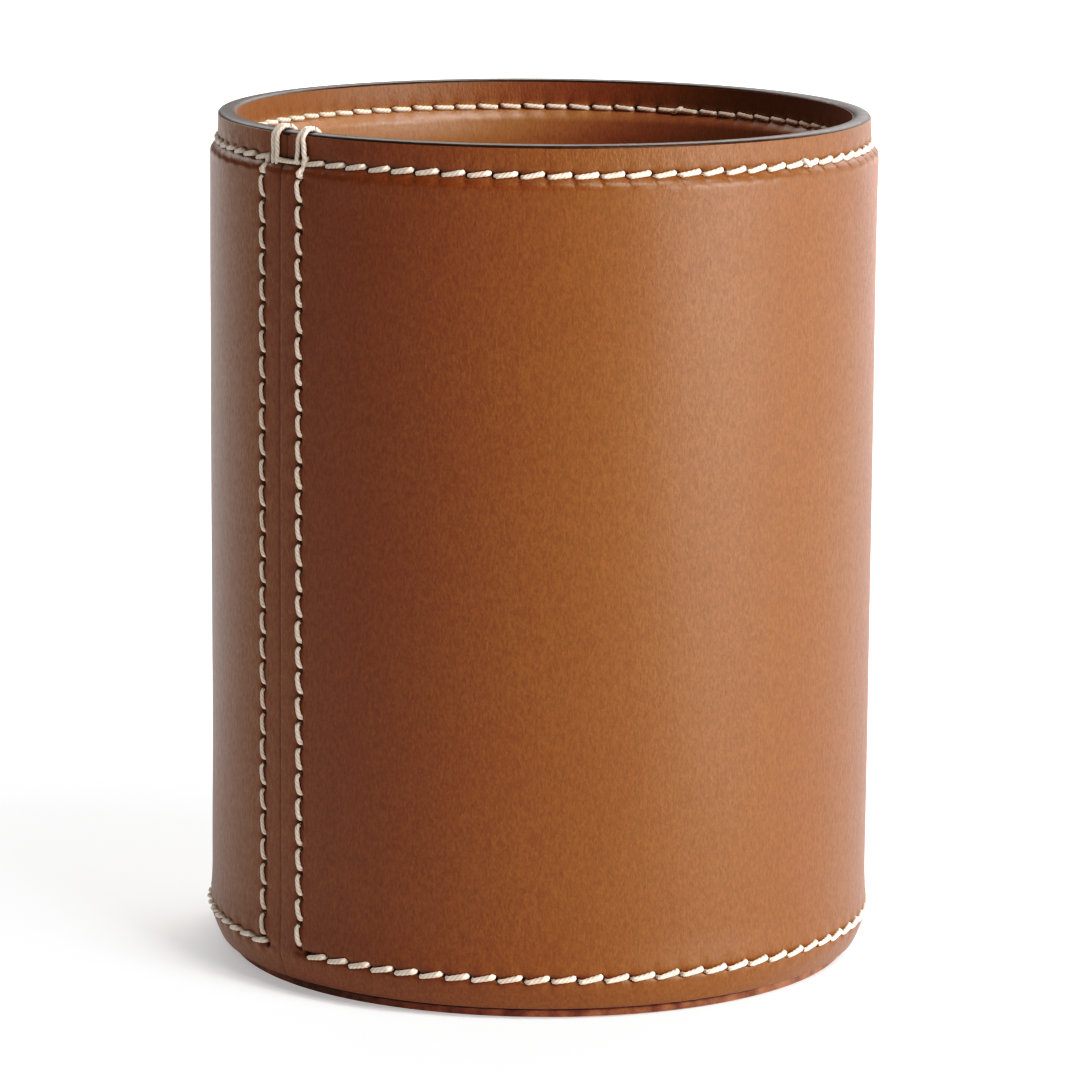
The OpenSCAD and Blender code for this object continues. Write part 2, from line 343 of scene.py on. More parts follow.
def rolled_sheet(name, columns, dense, levels, keep, back, face_r, back_r, bruise_and_shade, material, flip=False):
    """A sheet rolled around the axis, with a butt joint at the seam. columns gives every column's
    angle at every level; dense columns have all levels on their face and the others only those in
    keep, and the back has those in back. face_r and back_r give both surfaces' radii, and the
    darkening function how dark the face is made, by bruising and painted shade. flip is for a
    sheet whose face looks inwards."""
    points, shade_and_bruising, face_ids, back_ids, total = [], [], [], [], 0
    for k in range(len(columns)):
        rows = np.arange(len(levels)) if dense[k] else keep
        face = place(columns[k][rows], face_r(columns[k][rows], levels[rows]), levels[rows])
        rear = place(columns[k][back], back_r(levels[back]), levels[back])
        points += [face, rear]
        shade_and_bruising += [bruise_and_shade(columns[k][rows], levels[rows]), np.zeros(len(back))]
        face_ids.append(dict(zip(rows.tolist(), range(total, total + len(rows)))))
        total += len(rows)
        back_ids.append(dict(zip(back.tolist(), range(total, total + len(back)))))
        total += len(back)
    faces = []
    for k in range(len(columns) - 1):
        faces += strip(face_ids[k], face_ids[k + 1])
        faces += strip(back_ids[k + 1], back_ids[k])
        for row, up in ((0, False), (len(levels) - 1, True)):
            ring = [face_ids[k][row], back_ids[k][row], back_ids[k + 1][row], face_ids[k + 1][row]]
            faces.append(ring[::-1] if up else ring)
    faces += strip(back_ids[0], face_ids[0])
    faces += strip(face_ids[-1], back_ids[-1])
    if flip:
        faces = [f[::-1] for f in faces]
    piece = add_piece(name, np.concatenate(points), faces, material)
    write_layer(piece, "bruise_and_shade", np.concatenate(shade_and_bruising))
    return piece


def strip(left, right):
    """Faces between two upright chains of vertices, given as {level: vertex}; where one chain has
    more levels than the other, its extra vertices are taken into the same face."""
    shared = sorted(set(left) & set(right))
    faces = []
    for a, b in zip(shared, shared[1:]):
        up_right = [right[i] for i in range(a, b + 1) if i in right]
        down_left = [left[i] for i in range(b, a - 1, -1) if i in left]
        faces.append(up_right + down_left)
    return faces


def lathe(name, outline, material, columns=256, wobble=0.0, seed=1, cap=False):
    """A ring turned from a closed outline of (radius, height) points in mm, or with cap a disc,
    whose outline runs from near the axis underneath to near the axis on top. Its radius wavers
    by about wobble mm."""
    outline = np.array(outline, float)
    angles = np.linspace(0, 360, columns, endpoint=False)
    grid = []
    for a in angles:
        waver = wobble * ripple(a, outline[:, 1] * 40, 7, seed)
        grid.append(place(np.full(len(outline), a), outline[:, 0] + waver, outline[:, 1]))
    rows = len(outline)
    faces = []
    for k in range(columns):
        a, b = k * rows, ((k + 1) % columns) * rows
        for j in range(rows - 1 if cap else rows):
            i = (j + 1) % rows
            faces.append([a + j, b + j, b + i, a + i])
    points = np.concatenate(grid)
    if cap:
        faces.append([k * rows for k in range(columns)][::-1])
        faces.append([k * rows + rows - 1 for k in range(columns)])
    return add_piece(name, points, faces, material)


# Twisted thread: corners of its section, its plies, and the mm in which they turn once
SIDES = 24
PLIES = 3
LAY = 2.0


def strand(path, radius, phase=0.0):
    """One twisted thread along a path in metres: its plies turn once every LAY mm. Gives its
    points, its faces and how deep each point lies in a groove between plies."""
    path = np.asarray(path, float)
    tangent = np.gradient(path, axis=0)
    tangent /= np.linalg.norm(tangent, axis=1)[:, None]
    outward = path * [1, 1, 0]
    outward /= np.linalg.norm(outward, axis=1)[:, None]
    side = np.cross(tangent, outward)
    for n in range(len(side)):
        if np.linalg.norm(side[n]) < 0.2 and n:
            side[n] = side[n - 1]
    side /= np.linalg.norm(side, axis=1)[:, None]
    up = np.cross(side, tangent)
    travel = np.concatenate([[0], np.cumsum(np.linalg.norm(np.diff(path, axis=0), axis=1))]) / MM
    around = np.linspace(0, 2 * np.pi, SIDES, endpoint=False)
    turn = around[None, :] - 2 * np.pi * travel[:, None] / LAY + phase
    ply = np.abs(np.cos(PLIES / 2 * turn)) ** 0.7
    r = np.broadcast_to(np.asarray(radius, float), (len(path),))[:, None] * (0.8 + 0.2 * ply) * MM
    ring = (side[:, None, :] * (np.cos(around)[None, :] * r)[..., None]
            + up[:, None, :] * (np.sin(around)[None, :] * r)[..., None])
    points = (path[:, None, :] + ring).reshape(-1, 3)
    faces = []
    for i in range(len(path) - 1):
        for j in range(SIDES):
            n = (j + 1) % SIDES
            faces.append([i * SIDES + j, i * SIDES + n, (i + 1) * SIDES + n, (i + 1) * SIDES + j])
    faces.append(list(range(SIDES))[::-1])
    faces.append(list(range((len(path) - 1) * SIDES, len(path) * SIDES)))
    return points, faces, (1 - ply).ravel()


def smooth_path(knots, count):
    """Points spread evenly along a smooth curve through the knots."""
    knots = np.asarray(knots, float)
    ends = np.concatenate([[2 * knots[0] - knots[1]], knots, [2 * knots[-1] - knots[-2]]])
    fine = []
    for k in range(len(knots) - 1):
        p0, p1, p2, p3 = ends[k:k + 4]
        t = np.linspace(0, 1, 12, endpoint=False)[:, None]
        fine.append(0.5 * (2 * p1 + (p2 - p0) * t + (2 * p0 - 5 * p1 + 4 * p2 - p3) * t ** 2
                           + (3 * p1 - p0 - 3 * p2 + p3) * t ** 3))
    fine = np.concatenate(fine + [knots[-1:]])
    travel = np.concatenate([[0], np.cumsum(np.linalg.norm(np.diff(fine, axis=0), axis=1))])
    wanted = np.linspace(0, travel[-1], count)
    return np.stack([np.interp(wanted, travel, fine[:, i]) for i in range(fine.shape[1])], -1)


def join_strands(name, strands, material):
    """One piece from many strands."""
    points, faces, ply_groove_shade, total = [], [], [], 0
    for p, f, g in strands:
        points.append(p)
        ply_groove_shade.append(g)
        faces += [[i + total for i in face] for face in f]
        total += len(p)
    piece = add_piece(name, np.concatenate(points), faces, material, smooth_angle=60)
    # Groove depths, which the thread's material turns into painted shade
    write_layer(piece, "groove", np.concatenate(ply_groove_shade))
    return piece


# ---------------------------------------------------------------- materials

def srgb(r, g, b):
    """A linear colour from screen values of 0 to 255, none of which are nearly black."""
    return tuple(((c / 255 + 0.055) / 1.055) ** 2.4 for c in (r, g, b))


class Finish:
    """A Principled material and short calls that add nodes to it."""

    def __init__(self, name, **values):
        self.material = bpy.data.materials.new(name)
        self.material.use_nodes = True
        self.tree = self.material.node_tree
        self.shader = self.tree.nodes["Principled BSDF"]
        for key, value in values.items():
            self.shader.inputs[key.replace("_", " ")].default_value = value
        coordinates = self.add("ShaderNodeTexCoord").outputs["Object"]
        scaled = self.add("ShaderNodeVectorMath", operation="SCALE")
        scaled.inputs["Scale"].default_value = 1 / MM
        self.link(coordinates, scaled.inputs[0])
        self.where = scaled.outputs[0]          # the place on the object in mm

    def add(self, kind, **settings):
        node = self.tree.nodes.new(kind)
        for key, value in settings.items():
            setattr(node, key, value)
        return node

    def link(self, out, into):
        """Connects a socket, or sets a plain value."""
        if hasattr(out, "is_linked"):
            self.tree.links.new(out, into)
        else:
            into.default_value = out

    def stretched(self, scale):
        """The place on the object, scaled along each axis: below 1 draws a pattern out."""
        node = self.add("ShaderNodeMapping")
        node.inputs["Scale"].default_value = scale
        self.link(self.where, node.inputs["Vector"])
        return node.outputs[0]

    def noise(self, per_mm, detail=3.0, rough=0.55, where=None, warp=0.0):
        node = self.add("ShaderNodeTexNoise")
        self.link(where or self.where, node.inputs["Vector"])
        node.inputs["Scale"].default_value = per_mm
        node.inputs["Detail"].default_value = detail
        node.inputs["Roughness"].default_value = rough
        node.inputs["Distortion"].default_value = warp
        return node.outputs["Fac"]

    def cells(self, per_mm, where):
        node = self.add("ShaderNodeTexVoronoi")
        self.link(where, node.inputs["Vector"])
        node.inputs["Scale"].default_value = per_mm
        return node.outputs["Distance"]

    def remap(self, value, low_in, high_in, low_out=0.0, high_out=1.0, smooth=False):
        node = self.add("ShaderNodeMapRange")
        if smooth:
            node.interpolation_type = "SMOOTHSTEP"
        self.link(value, node.inputs["Value"])
        for key, number in zip(("From Min", "From Max", "To Min", "To Max"),
                               (low_in, high_in, low_out, high_out)):
            node.inputs[key].default_value = number
        return node.outputs["Result"]

    def maths(self, operation, a, b):
        node = self.add("ShaderNodeMath", operation=operation)
        self.link(a, node.inputs[0])
        self.link(b, node.inputs[1])
        return node.outputs[0]

    def blend(self, share, a, b, mode="MIX"):
        node = self.add("ShaderNodeMix", data_type="RGBA", blend_type=mode)
        self.link(share, node.inputs["Factor"])
        for value, socket in ((a, node.inputs[6]), (b, node.inputs[7])):
            self.link(value if hasattr(value, "is_linked") else (*value, 1.0), socket)
        return node.outputs[2]

    def attribute(self, name):
        node = self.add("ShaderNodeAttribute", attribute_name=name)
        return node.outputs["Fac"]

    def height(self):
        node = self.add("ShaderNodeSeparateXYZ")
        self.link(self.where, node.inputs[0])
        return node.outputs["Z"]

    def bump(self, height, distance, normal=None):
        """Small relief of some mm, on top of another one where normal is given."""
        node = self.add("ShaderNodeBump")
        node.inputs["Distance"].default_value = distance * MM
        self.link(height, node.inputs["Height"])
        if normal is not None:
            self.link(normal, node.inputs["Normal"])
        return node.outputs["Normal"]

    def set(self, name, value):
        self.link(value, self.shader.inputs[name])


def leather(name, light, dark, red, ior, roughness=0.42, grain=1.0, rim_dressing=(1, 1, 1)):
    """Smooth full-grain leather: short upright marks, small pores, a little uneven in tone,
    drawn smooth over the shoulder, and darker where its mesh is marked: bruising and painted
    shade at the stitches, and painted shade at the wrap's foot. grain scales its marks,
    and rim_dressing tints it above the rim stitches."""
    f = Finish(name, IOR=ior, Specular_Tint=(1.0, 0.92, 0.83, 1.0))
    clouds = f.remap(f.noise(0.045, 3, 0.55, warp=0.4), 0.38, 0.62, smooth=True)
    marks = f.noise(2.9, 4, 0.6, where=f.stretched((1.0, 1.0, 0.42)), warp=0.6)
    fine = f.noise(5.0, 2, 0.6, where=f.stretched((1.0, 1.0, 0.6)))
    pores = f.remap(f.cells(1.1, f.stretched((1.0, 1.0, 0.7))), 0.0, 0.13, smooth=True)
    tone = f.blend(f.maths("MULTIPLY", clouds, 0.3), light, red)
    tone = f.blend(f.remap(marks, 0.36, 0.62, 0.44 * grain, 0.0), tone, dark)
    tone = f.blend(f.remap(fine, 0.35, 0.65, 0.3 * grain, 0.0), tone, dark)
    tone = f.blend(f.remap(pores, 0.0, 1.0, 0.3 * grain, 0.0), tone, dark)
    # Painted shade with bruising: darker in the holes, along the thread and at the wrap's foot
    shade_and_bruising = f.attribute("bruise_and_shade")
    tone = f.blend(f.maths("MULTIPLY", shade_and_bruising, 0.7), tone, tuple(0.2 * c for c in dark))
    above_row = f.remap(f.height(), RIM_ROW_Z + 0.2, RIM_ROW_Z + 1.2, smooth=True)
    f.set("Base Color", f.blend(above_row, tone, f.blend(1.0, tone, rim_dressing, "MULTIPLY")))
    drawn_in = f.remap(f.height(), SHOULDER_Z - 0.6, SHOULDER_Z + 0.6, 0.0, 0.06, smooth=True)
    sewn_flat = f.remap(f.height(), RIM_ROW_Z - 0.6, RIM_ROW_Z + 0.4, 0.0, 0.09, smooth=True)
    rough = f.remap(marks, 0.3, 0.7, roughness + 0.06, roughness - 0.04)
    f.set("Roughness", f.maths("ADD", f.maths("SUBTRACT", rough, drawn_in), sewn_flat))
    rim_pull = f.remap(f.height(), RIM_ROW_Z - 1.5, RIM_ROW_Z + 1.0, 0.9, 2.3)
    relief = f.maths("MULTIPLY", marks, rim_pull)
    relief = f.maths("ADD", relief, f.maths("MULTIPLY", fine, 0.3))
    relief = f.maths("ADD", relief, f.maths("MULTIPLY", pores, 0.3))
    close = f.bump(relief, 0.034 * grain)
    wide = f.noise(0.3, 3, 0.5, where=f.stretched((1.0, 1.0, 0.6)))
    f.set("Normal", f.bump(wide, 0.04, close))
    return f.material


def waxed_thread():
    """Ivory twisted thread, a little waxed, with fine fibres along its plies and painted shade in the
    grooves between them.
    """
    f = Finish("waxed_thread", IOR=1.45, Sheen_Weight=0.25, Sheen_Roughness=0.5)
    fibres = f.noise(5.0, 3, 0.6)
    soil = f.remap(f.noise(0.5, 3), 0.35, 0.7)
    tone = f.blend(soil, srgb(240, 228, 212), srgb(228, 211, 190))
    tone = f.blend(f.remap(fibres, 0.3, 0.6, 0.25, 0.0), tone, srgb(184, 160, 130))
    # Painted shade: darker brown in the grooves between the plies
    tone = f.blend(f.remap(f.attribute("groove"), 0.15, 0.8, 0.0, 0.5), tone, srgb(158, 126, 96))
    f.set("Base Color", tone)
    f.set("Roughness", f.remap(fibres, 0.3, 0.7, 0.62, 0.8))
    f.set("Normal", f.bump(fibres, 0.05))
    return f.material


def edge_paint():
    """Dark brown edge coat, built up in layers and burnished."""
    f = Finish("edge_paint", IOR=1.28, Specular_Tint=(1.0, 0.86, 0.74, 1.0))
    streaks = f.noise(1.4, 4, 0.6, where=f.stretched((0.35, 0.35, 2.2)))
    f.set("Base Color", f.blend(f.remap(streaks, 0.35, 0.65), srgb(40, 24, 15), srgb(58, 37, 24)))
    f.set("Roughness", f.remap(streaks, 0.3, 0.7, 0.3, 0.42))
    f.set("Normal", f.bump(f.noise(0.8, 3), 0.05, f.bump(streaks, 0.015)))
    return f.material


def raw_leather(name, light, dark):
    """Cut or flesh side of leather: matt, fibrous."""
    f = Finish(name, IOR=1.4, Sheen_Weight=0.15)
    fibre = f.noise(3.0, 5, 0.7, where=f.stretched((1.0, 1.0, 1.8)), warp=0.8)
    patch = f.noise(0.35, 3)
    tone = f.blend(f.remap(patch, 0.35, 0.65), light, dark)
    tone = f.blend(f.remap(fibre, 0.35, 0.6, 0.5, 0.0), tone, dark)
    f.set("Base Color", tone)
    f.set("Roughness", f.remap(fibre, 0.3, 0.7, 0.7, 0.9))
    f.set("Normal", f.bump(fibre, 0.12))
    return f.material


def fibreboard():
    """Pressed grey-brown board."""
    f = Finish("fibreboard", IOR=1.4)
    chips = f.noise(1.2, 5, 0.7, where=f.stretched((1.0, 1.0, 0.4)))
    f.set("Base Color", f.blend(f.remap(chips, 0.3, 0.7), srgb(150, 130, 104), srgb(178, 160, 134)))
    f.set("Roughness", f.remap(chips, 0.3, 0.7, 0.8, 0.92))
    f.set("Normal", f.bump(chips, 0.08))
    return f.material


wrap_leather = leather("wrap_leather", srgb(129, 77, 37), srgb(87, 42, 19), srgb(127, 71, 37),
                       ior=1.42)
lining_leather = leather("lining_leather", srgb(166, 111, 70), srgb(114, 67, 39), srgb(160, 102, 66),
                         ior=1.62, roughness=0.47, grain=0.8, rim_dressing=(0.66, 0.52, 0.38))
sole_leather = raw_leather("sole_leather", srgb(166, 104, 72), srgb(104, 54, 36))
backing_leather = raw_leather("backing_leather", srgb(150, 110, 78), srgb(108, 72, 48))
thread_finish = waxed_thread()
paint_finish = edge_paint()
board_finish = fibreboard()


# ---------------------------------------------------------------- leather sheets

def sheet_columns(levels):
    """Angles of every column at every level: close together at the seam, and elsewhere gathered
    at the awl holes, which they follow from the rim row down to the base row."""
    half_gap = 0.02
    near_seam = spaced(half_gap, ROW + 1.8, 0.28)
    offsets = np.array([-1.2, -0.75, -0.48, -0.3, -0.15, 0.0, 0.15, 0.3, 0.48, 0.75, 1.2])
    hole_steps = offsets / (math.radians(RIM_PITCH) * RIM_R)
    run = (np.arange(1, ROUND_STITCHES)[:, None] + hole_steps[None, :]).ravel()
    at_rim = ROW + RIM_PITCH * run
    at_base = BASE_START + BASE_PITCH * run
    low_share = 1 - ease((levels - 9) / 30)
    columns = [np.full(len(levels), a) for a in near_seam]
    columns += [rim + (base - rim) * low_share for rim, base in zip(at_rim, at_base)]
    columns += [np.full(len(levels), 360 - a) for a in near_seam[::-1]]
    dense = np.array([True] * len(near_seam) + [False] * len(run) + [True] * len(near_seam))
    return columns, dense


def sheet_levels(zones):
    """Levels of a sheet, which of them its sparse columns keep, and which of those its back has.
    zones are (from, to, step, keep every nth)."""
    levels, keep = [], []
    for start, end, step, nth in zones:
        part = spaced(start, end, step)[:-1]
        keep += [len(levels) + i for i in range(0, len(part), nth)]
        levels += part.tolist()
    levels.append(zones[-1][1])
    keep.append(len(levels) - 1)
    back = keep[::4]
    if back[-1] != keep[-1]:
        back.append(keep[-1])
    return np.array(levels), np.array(keep), np.array(back)


wrap_levels, wrap_keep, wrap_back = sheet_levels([
    (SOLE_T, SOLE_T + 0.4, 0.08, 1),
    (SOLE_T + 0.4, BASE_ROW_Z - 1.2, 0.3, 1),
    (BASE_ROW_Z - 1.2, BASE_ROW_Z + 1.2, 0.15, 1),
    (BASE_ROW_Z + 1.2, FLARE_TOP_Z + 1, 0.35, 1),
    (FLARE_TOP_Z + 1, SHOULDER_Z - 1, 0.34, 5),
    (SHOULDER_Z - 1, RIM_ROW_Z - 1.2, 0.22, 1),
    (RIM_ROW_Z - 1.2, RIM_ROW_Z + 1.2, 0.15, 1),
    (RIM_ROW_Z + 1.2, EDGE_Z - 0.2, 0.4, 1),
    (EDGE_Z - 0.2, LEATHER_TOP, 0.08, 1)])
wrap_columns, wrap_dense = sheet_columns(wrap_levels)
wrap = rolled_sheet("outer_wrap_leather", wrap_columns, wrap_dense, wrap_levels, wrap_keep,
                    wrap_back, wrap_face_r, lambda z: wrap_r(z) - WRAP_T, wrap_bruise_and_shade, wrap_leather)

lining_levels, lining_keep, lining_back = sheet_levels([
    (FLOOR_Z, 98.0, 1.6, 1),
    (98.0, SHOULDER_Z - 1, 0.6, 1),
    (SHOULDER_Z - 1, RIM_ROW_Z - 1.2, 0.25, 1),
    (RIM_ROW_Z - 1.2, RIM_ROW_Z + 1.2, 0.15, 1),
    (RIM_ROW_Z + 1.2, EDGE_Z - 0.2, 0.4, 1),
    (EDGE_Z - 0.2, LEATHER_TOP, 0.08, 1)])
lining_columns, lining_dense = sheet_columns(lining_levels)
lining = rolled_sheet("lining_leather", lining_columns, lining_dense, lining_levels, lining_keep,
                      lining_back, lining_face_r, lambda z: lining_r(z) + LINING_T, lining_bruise_and_shade,
                      lining_leather, flip=True)


# ---------------------------------------------------------------- rim paint, sole and floor

def paint_bead():
    """Rounded coat that rises out of both cut edges."""
    shy = 0.03          # how far it stays inside both leathers' faces
    inner = RIM_IN_R + shy
    outer = RIM_R - shy
    middle = (inner + outer) / 2
    half = (outer - inner) / 2
    t = np.linspace(0, np.pi, 25)
    crown = [(middle + half * np.sign(np.cos(a)) * abs(np.cos(a)) ** 0.6,
              EDGE_Z + (RIM_TOP - 0.02 - EDGE_Z) * np.sin(a) ** 0.75) for a in t]
    tuck = 0.1          # how far its underside lies below the edge
    under = [(inner + 0.25, EDGE_Z - tuck), (outer - 0.25, EDGE_Z - tuck)]
    return lathe("rim_edge_coat", crown + under, paint_finish, 512, wobble=0.012, seed=4)


# Where a disc's flat faces have rings, as shares of its radius
DISC_RINGS = (0.02, 0.3, 0.6, 0.85)


def disc_outline(radius, bottom, top, edge):
    """Outline of a flat disc with corners rounded by edge, from near the axis underneath to near
    the axis on top."""
    corner = np.linspace(0, np.pi / 2, 5)
    lower = [(radius - edge + edge * np.sin(a), bottom + edge - edge * np.cos(a)) for a in corner]
    upper = [(radius - edge + edge * np.cos(a), top - edge + edge * np.sin(a)) for a in corner]
    rings = [radius * share for share in DISC_RINGS]
    return [(r, bottom) for r in rings] + lower + upper + [(r, top) for r in rings[::-1]]


def sole_outline():
    """The sole in section: its raw edge stands out under a glue line that lies further in."""
    glue_line = 0.45
    set_back = 0.5
    radius = SOLE_R - 0.1
    edge = disc_outline(radius, 0.0, SOLE_T - glue_line, 0.15)[:-len(DISC_RINGS)]
    neck = [(radius - set_back, SOLE_T - glue_line), (radius - set_back, SOLE_T)]
    return edge + neck + [(radius * share, SOLE_T) for share in DISC_RINGS[::-1]]


coat = paint_bead()
sole = lathe("sole_disc", sole_outline(), sole_leather, 384, wobble=0.06, seed=6, cap=True)
floor_outline = disc_outline(LINING_R - 0.05, FLOOR_Z, FLOOR_TOP, 0.3)
floor_disc = lathe("floor_disc", floor_outline, lining_leather, cap=True)


# ---------------------------------------------------------------- stitching

# Thread: the mm that a stitch starts in from its hole, each strand's share of THREAD_R, and how
# far a strand's twist may start turned, in radians
STITCH_GAP = 0.13
LEFT_ROW_SHARE = 0.7
RIGHT_ROW_SHARE = 0.83
LOOP_SHARE = 0.82
BRIDGE_SHARE = 0.85
TOP_SHARE = 0.92
ANY_TURN = 3.0


def stitch_path(length, slant, lift, bow=0.0):
    """One stitch in a flat frame: (along, across, out of the leather), in mm from its first hole."""
    start = STITCH_GAP + THREAD_R * 0.8
    end = length - start
    knots = [(start, -slant, -1.0),
             (start, -slant, -0.3),
             (start + 0.16, -slant * 0.95, lift * 0.45),
             (start + 0.55, -slant * 0.6 - bow, lift),
             (length * 0.5, -bow * 1.2, lift * 1.08),
             (end - 0.55, slant * 0.6 - bow, lift),
             (end - 0.14, slant * 0.95, lift * 0.5),
             (end, slant, -0.3),
             (end, slant, -1.0)]
    return smooth_path(knots, 26)


def stitch_radius(count, thin, thick):
    """Radius along a stitch: pulled thin at its start, and full at its end."""
    t = np.linspace(0, 1, count)
    return THREAD_R * (thin + (thick - thin) * ease((t - 0.1) / 0.75))


def jitter(scale):
    """What handwork leaves: a random number up to scale either way."""
    return rng.uniform(-scale, scale)


def knotted_strand(knots, count, share, phase):
    """A strand through knots given as (degrees from the seam, radius, height)."""
    path = smooth_path(knots, count)
    return strand(place(*path.T), THREAD_R * share, phase)


def round_stitches(start, pitch, row_z, radius, slant, lift, outward=1, thin=0.8, thick=0.98):
    """A row of stitches around the cup, on its outside or, with outward -1, on its inside."""
    strands = []
    step = math.radians(pitch) * radius
    for k in range(ROUND_STITCHES):
        flat = stitch_path(step, slant + jitter(0.05), lift + jitter(0.03))
        angle = start + k * pitch + np.degrees((flat[:, 0] + jitter(0.05)) / radius)
        r = radius + outward * flat[:, 2]
        path = place(angle, r, row_z + flat[:, 1] + jitter(0.04))
        size = stitch_radius(len(flat), thin, thick) * (1 + jitter(0.05))
        strands.append(strand(path, size, jitter(ANY_TURN)))
    return strands


def upright_stitches(side, size):
    """The stitches of an upright row, from the top down. side is -1 on the left and 1 on the
    right."""
    strands = []
    for k in range(SEAM_STITCHES):
        flat = stitch_path(SEAM_PITCH, 0.2 + jitter(0.06), 0.17 + jitter(0.03), bow=0.12)
        z = SEAM_TOP_Z - k * SEAM_PITCH - flat[:, 0]
        angle = side * ROW + np.degrees((flat[:, 1] + 0.04 + jitter(0.05)) / BODY_R)
        radius = stitch_radius(len(flat), 0.84 * size, 1.02 * size) * (1 + jitter(0.05))
        path = place(angle, wrap_r(z) + flat[:, 2], z)
        strands.append(strand(path, radius, jitter(ANY_TURN)))
    return strands


def crossed_stitch(angle, row_z, radius, outward, drop):
    """A short strand that falls back over the gap after a stitch, where the thread was renewed."""
    lift, sink = radius + 0.26 * outward, radius - 0.6 * outward
    knots = [(angle - 0.85, sink, row_z + 0.9 * drop),
             (angle - 0.75, lift, row_z + drop),
             (angle, radius + 0.38 * outward, row_z + 0.1 * drop),
             (angle + 0.7, lift - 0.1 * outward, row_z - 0.6 * drop),
             (angle + 0.8, sink, row_z - 0.6 * drop)]
    return knotted_strand(knots, 22, BRIDGE_SHARE, jitter(ANY_TURN))


def over_rim(outer_foot, inner_foot, lean, foot_z):
    """One strand over the rim edge, from a hole outside to the inner row. Both feet are degrees
    from the seam, and lean is how many it moves on its way up."""
    out, inn = RIM_R + 0.32, RIM_IN_R - 0.32
    top = outer_foot + lean
    knots = [(outer_foot, RIM_R - 0.6, foot_z - 0.1),
             (outer_foot, out, foot_z + 0.1),
             (outer_foot + 0.4 * lean, out + 0.02, foot_z + 1.6),
             (outer_foot + 0.7 * lean, out + 0.03, RIM_TOP - 0.7),
             (top, RIM_R - 0.5, RIM_TOP + 0.26),
             (top, (out + inn) / 2, RIM_TOP + 0.36),
             (top, RIM_IN_R + 0.5, RIM_TOP + 0.26),
             (inner_foot, inn - 0.03, RIM_TOP - 0.8),
             (inner_foot, inn, RIM_ROW_Z + 0.2),
             (inner_foot, RIM_IN_R + 0.6, RIM_ROW_Z)]
    return knotted_strand(knots, 60, LOOP_SHARE, jitter(ANY_TURN))


def across_seam():
    """The straight strand that bridges the seam between the two loops' feet."""
    knots = [(-1.9, RIM_R - 0.6, RIM_ROW_Z),
             (-1.7, RIM_R + 0.2, RIM_ROW_Z),
             (0.5, RIM_R + 0.27, RIM_ROW_Z - 0.05),
             (3.0, RIM_R + 0.27, RIM_ROW_Z),
             (4.2, RIM_R + 0.1, RIM_ROW_Z)]
    return knotted_strand(knots, 22, BRIDGE_SHARE, 0.0)


def top_stitch(side):
    """The last stitch of an upright row, which leans in over the shoulder to the rim row."""
    row = side * ROW
    knots = [(row + 0.3, BODY_R - 1.0, SEAM_TOP_Z + 0.1),
             (row + 0.1, wrap_r(SEAM_TOP_Z) + 0.22, SEAM_TOP_Z + 0.35),
             (row + 0.1, RIM_R + 0.3, RIM_ROW_Z - 0.6),
             (row + 0.3, RIM_R + 0.3, RIM_ROW_Z + 0.3),
             (row + 0.3, RIM_R - 0.6, RIM_ROW_Z + 0.5)]
    return knotted_strand(knots, 20, TOP_SHARE, jitter(ANY_TURN))


def upright_row(name, side, size):
    """One upright row with its top stitch, as a piece."""
    return join_strands(name, upright_stitches(side, size) + [top_stitch(side)], thread_finish)


outer_row = round_stitches(ROW, RIM_PITCH, RIM_ROW_Z, RIM_R, 0.2, 0.14)
inner_row = round_stitches(ROW, RIM_PITCH, RIM_ROW_Z, RIM_IN_R, 0.08, 0.15, outward=-1,
                           thin=0.84, thick=0.9)
loops = [over_rim(LEFT_LOOP - 0.55, LEFT_LOOP - 0.5, 0.2, RIM_ROW_Z - 0.5),
         over_rim(LEFT_LOOP + 0.5, LEFT_LOOP + 0.5, 0.1, RIM_ROW_Z - 0.5),
         over_rim(RIGHT_LOOP - 0.9, RIGHT_LOOP - 0.4, 0.7, RIM_ROW_Z - 0.1),
         over_rim(RIGHT_LOOP + 1.0, RIGHT_LOOP + 0.6, -0.5, RIM_ROW_Z + 0.6)]
crossings = [crossed_stitch(ROW + 21.2 * RIM_PITCH, RIM_ROW_Z, RIM_R, 1, 0.45),
             crossed_stitch(ROW + 44 * RIM_PITCH, RIM_ROW_Z, RIM_IN_R, -1, 0.3)]
rim_strands = outer_row + inner_row + loops + crossings + [across_seam()]
rim_rows = join_strands("rim_thread", rim_strands, thread_finish)

base_strands = round_stitches(BASE_START, BASE_PITCH, BASE_ROW_Z, FOOT_R, 0.24, 0.13,
                              thin=0.74, thick=1.0)
base_row = join_strands("base_thread", base_strands, thread_finish)

left_row = upright_row("left_seam_thread", -1, LEFT_ROW_SHARE)
right_row = upright_row("right_seam_thread", 1, RIGHT_ROW_SHARE)


# ---------------------------------------------------------------- riding, replaced nodes and finishes of the kept nodes

for piece, node, slot in ((wrap, "outer_wrap", "wrap_leather"),
                          (lining, "lining_wrap", "lining_leather"),
                          (coat, "rim_edge_paint", "edge_paint"),
                          (sole, "base_sole", "sole_leather"),
                          (floor_disc, "floor_lining", "lining_leather"),
                          (rim_rows, "rim_stitching", "waxed_thread"),
                          (base_row, "base_stitching", "waxed_thread"),
                          (left_row, "left_seam_stitching", "waxed_thread"),
                          (right_row, "right_seam_stitching", "waxed_thread")):
    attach(piece, "root")
    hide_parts(node)

for node, finish in (("core_tube", board_finish), ("base_board", board_finish),
                     ("seam_strip", backing_leather), ("base_pan", backing_leather)):
    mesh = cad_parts[node].data
    mesh.materials.clear()
    mesh.materials.append(finish)


# ---------------------------------------------------------------- floor, light and camera

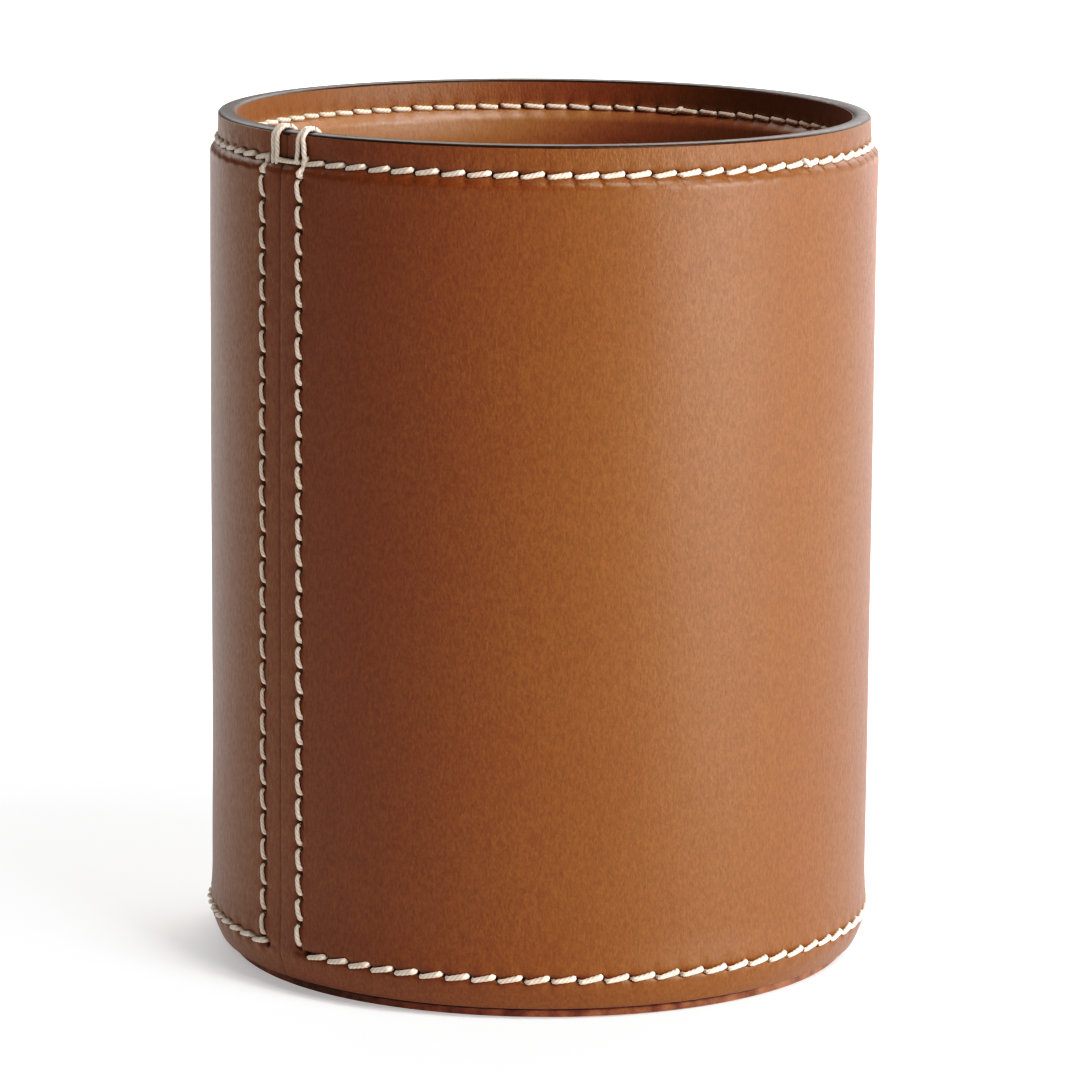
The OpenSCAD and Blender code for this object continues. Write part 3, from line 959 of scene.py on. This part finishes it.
def studio_floor():
    """Pale ground, a little luminous like a lit table."""
    f = Finish("floor_paper", Roughness=0.9, Emission_Color=(1.0, 1.0, 1.0, 1.0),
               Emission_Strength=0.41)
    f.set("Base Color", f.blend(f.noise(0.01, 2), (0.65, 0.65, 0.65), (0.67, 0.67, 0.67)))
    size = 6.0
    corners = [(-size, -size, 0), (size, -size, 0), (size, size, 0), (-size, size, 0)]
    floor = add_piece("studio_floor", corners, [[0, 1, 2, 3]], f.material)


def softbox(name, position, target, size, watts):
    """A rectangular light that the camera doesn't see, aimed at a point. Lengths are metres."""
    data = bpy.data.lights.new(name, "AREA")
    data.shape = "RECTANGLE"
    data.size, data.size_y = size
    data.energy = watts
    box = bpy.data.objects.new(name, data)
    box.location = position
    box.visible_camera = False
    box.rotation_euler = (Vector(target) - Vector(position)).to_track_quat("-Z", "Y").to_euler()
    bpy.context.scene.collection.objects.link(box)


def studio_light(name, around, up, distance, size, watts):
    """Softbox seen from the cup at an angle around it (0 in front, 90 on the right) and an
    angle up, in degrees."""
    a, e = math.radians(around), math.radians(up)
    aim = Vector((0, 0, RIM_TOP / 2 * MM))
    ray = Vector((math.sin(a) * math.cos(e), -math.cos(a) * math.cos(e), math.sin(e)))
    softbox(name, aim + ray * distance, aim, size, watts)


studio_floor()
studio_light("key_right", 61, 12, 1.0, (0.5, 0.5), 13.5)
studio_light("key_high", 46, 52, 1.3, (0.55, 0.55), 14.7)
studio_light("side_right", 106, 8, 1.1, (0.9, 0.7), 3.4)
studio_light("edge_left", -155, 12, 1.0, (0.6, 0.8), 0.3)
studio_light("edge_right", 155, 12, 1.0, (0.7, 0.9), 3.0)
softbox("floor_wash", (0, 1.6, 1.0), (0, 1.6, 0), (3.2, 2.0), 76.0)

AMBIENT = 0.012
world = bpy.data.worlds.new("studio")
world.use_nodes = True
world.node_tree.nodes["Background"].inputs["Color"].default_value = (1, 1, 1, 1)
world.node_tree.nodes["Background"].inputs["Strength"].default_value = AMBIENT
bpy.context.scene.world = world

# Tone of the picture, as a camera's contrast curve: white a little above 1, a soft toe, and pairs
# of light in the scene and in the picture
WHITE = 1.22
TONE_CURVE = ((0.026, 0.014), (0.053, 0.032), (0.108, 0.098), (0.216, 0.231), (0.49, 0.527),
              (0.63, 0.68), (0.8, 0.93))


def set_tone():
    """Applies the contrast curve to all colours alike."""
    view = bpy.context.scene.view_settings
    view.view_transform = "Standard"
    view.use_curve_mapping = True
    view.curve_mapping.white_level = (WHITE, WHITE, WHITE)
    all_colours = view.curve_mapping.curves[3]
    for scene_light, picture_light in TONE_CURVE:
        all_colours.points.new(scene_light, picture_light)
    view.curve_mapping.update()


set_tone()

# Camera: in front of the cup and above its rim, looking down on it and slightly rolled
CAMERA_AT = (-0.00015, -0.6891, 0.1834)
CAMERA_LENS = 174.8
CAMERA_PITCH = math.radians(10.61)
CAMERA_ROLL = 0.0079
camera = bpy.data.objects.new("camera", bpy.data.cameras.new("camera"))
camera.data.lens = CAMERA_LENS
camera.data.sensor_width = 36.0
camera.data.clip_start = 0.05
camera.data.clip_end = 50.0
camera.matrix_world = (Matrix.Translation(CAMERA_AT)
                       @ Matrix.Rotation(math.pi / 2 - CAMERA_PITCH, 4, "X")
                       @ Matrix.Rotation(CAMERA_ROLL, 4, "Z"))
bpy.context.scene.collection.objects.link(camera)
bpy.context.scene.camera = camera
